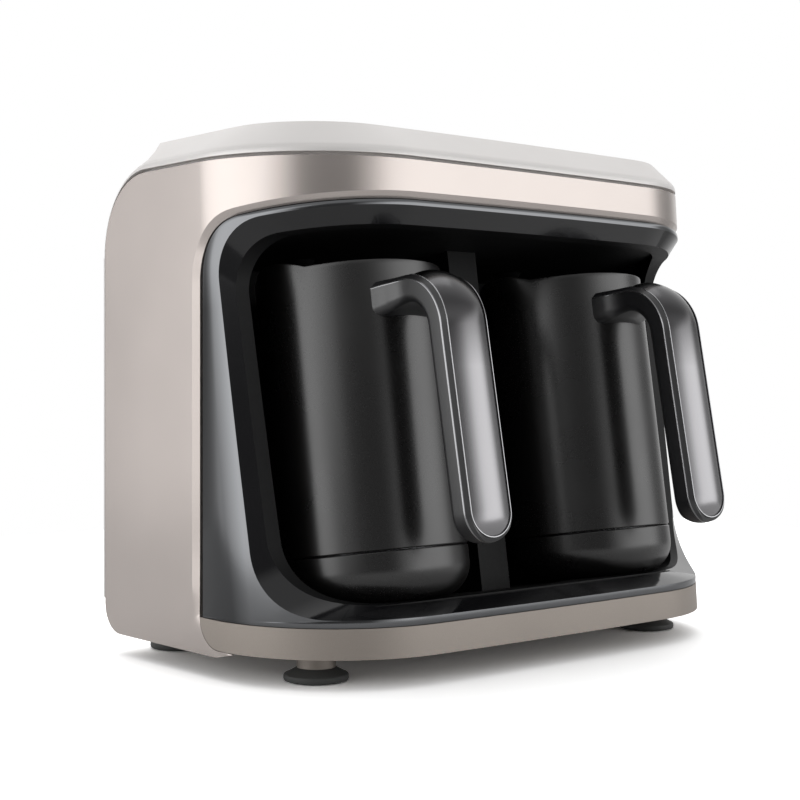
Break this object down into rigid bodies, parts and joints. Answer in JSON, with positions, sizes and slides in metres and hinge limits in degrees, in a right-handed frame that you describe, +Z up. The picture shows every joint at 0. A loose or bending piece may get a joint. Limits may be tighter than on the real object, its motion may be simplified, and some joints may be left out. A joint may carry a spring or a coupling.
{
  "type": "electric turkish coffee maker",
  "caption": "Electric Turkish coffee maker with leaning niches that hold lift-out pots with bent handles, push buttons on a sloped cover and a champagne painted shell.",
  "frame": {"origin": "centre of the bounding box at the underside of the rubber feet", "axes": "+X to the maker's right hand seen from the front, along its width; +Y to the back; +Z up"},
  "size_m": [0.275, 0.1936, 0.2338],
  "materials": {
    "champagne_paint": "satin metallic paint on moulded plastic",
    "cover_grey": "satin pale grey",
    "frame_black": "gloss black",
    "liner_black": "fine matt black",
    "soft_black": "fine matt black",
    "inlay_graphite": "satin graphite lacquer",
    "trim_metal": "dark polished trim",
    "vessel_coat": "satin black coating on steel",
    "foot_rubber": "matt",
    "steel": "brushed",
    "aluminium": "machined",
    "brass": "plated",
    "board_green": "solder mask",
    "part_plastic": "moulded",
    "ceramic_white": "glazed",
    "lens": "clear",
    "wire_red": "sleeved"
  },
  "bodies": {
    "housing": {"outer_shell": "champagne_paint", "top_cover": "cover_grey", "back_cover": "cover_grey", "base_tray": "champagne_paint", "front_frame": "frame_black", "niche_liner": "liner_black", "foot_stubs": "champagne_paint", "foot_pads": "foot_rubber", "control_bracket": "soft_black", "control_board": "board_green", "tact_switches": "part_plastic", "status_lights": "ceramic_white", "light_guides": "lens", "buzzer": "part_plastic", "button_spring_left": "steel", "button_spring_right": "steel", "power_board": "board_green", "relays": "part_plastic", "transformer": "part_plastic", "capacitor": "part_plastic", "terminal_block": "ceramic_white", "wiring_harness": "wire_red", "cord_gland": "soft_black", "board_screws": "steel", "base_screws": "steel", "back_screws": "steel", "sensor_housings": "soft_black", "sensor_lenses": "lens", "sensor_boards": "board_green", "coupler_housings": "soft_black", "coupler_blades": "brass"},
    "left_button": {"button_left": "soft_black"},
    "right_button": {"button_right": "soft_black"},
    "left_pot": {"pot_body_left": "vessel_coat", "base_cup_left": "soft_black", "heater_plate_left": "aluminium", "thermostat_left": "ceramic_white", "pot_socket_left": "soft_black", "handle_core_left": "soft_black", "handle_inlay_left": "inlay_graphite", "handle_trim_left": "trim_metal", "handle_bracket_left": "steel", "handle_screws_left": "steel"},
    "right_pot": {"pot_body_right": "vessel_coat", "base_cup_right": "soft_black", "heater_plate_right": "aluminium", "thermostat_right": "ceramic_white", "pot_socket_right": "soft_black", "handle_core_right": "soft_black", "handle_inlay_right": "inlay_graphite", "handle_trim_right": "trim_metal", "handle_bracket_right": "steel", "handle_screws_right": "steel"}
  },
  "joints": [
    {"name": "left_pot_slide", "type": "slide", "parent": "housing", "child": "left_pot", "axis": [0, -0.9887, 0.1502], "range_m": [0, 0.12]},
    {"name": "right_pot_slide", "type": "slide", "parent": "housing", "child": "right_pot", "axis": [0, -0.9887, 0.1502], "range_m": [0, 0.12]},
    {"name": "left_button_press", "type": "slide", "parent": "housing", "child": "left_button", "axis": [0, 0, -1], "range_m": [0, 0.0012], "stiffness_N_per_m": 300, "springref_m": -0.0015, "deforming": ["button_spring_left"]},
    {"name": "right_button_press", "type": "slide", "parent": "housing", "child": "right_button", "axis": [0, 0, -1], "range_m": [0, 0.0012], "stiffness_N_per_m": 300, "springref_m": -0.0015, "deforming": ["button_spring_right"]}
  ]
}
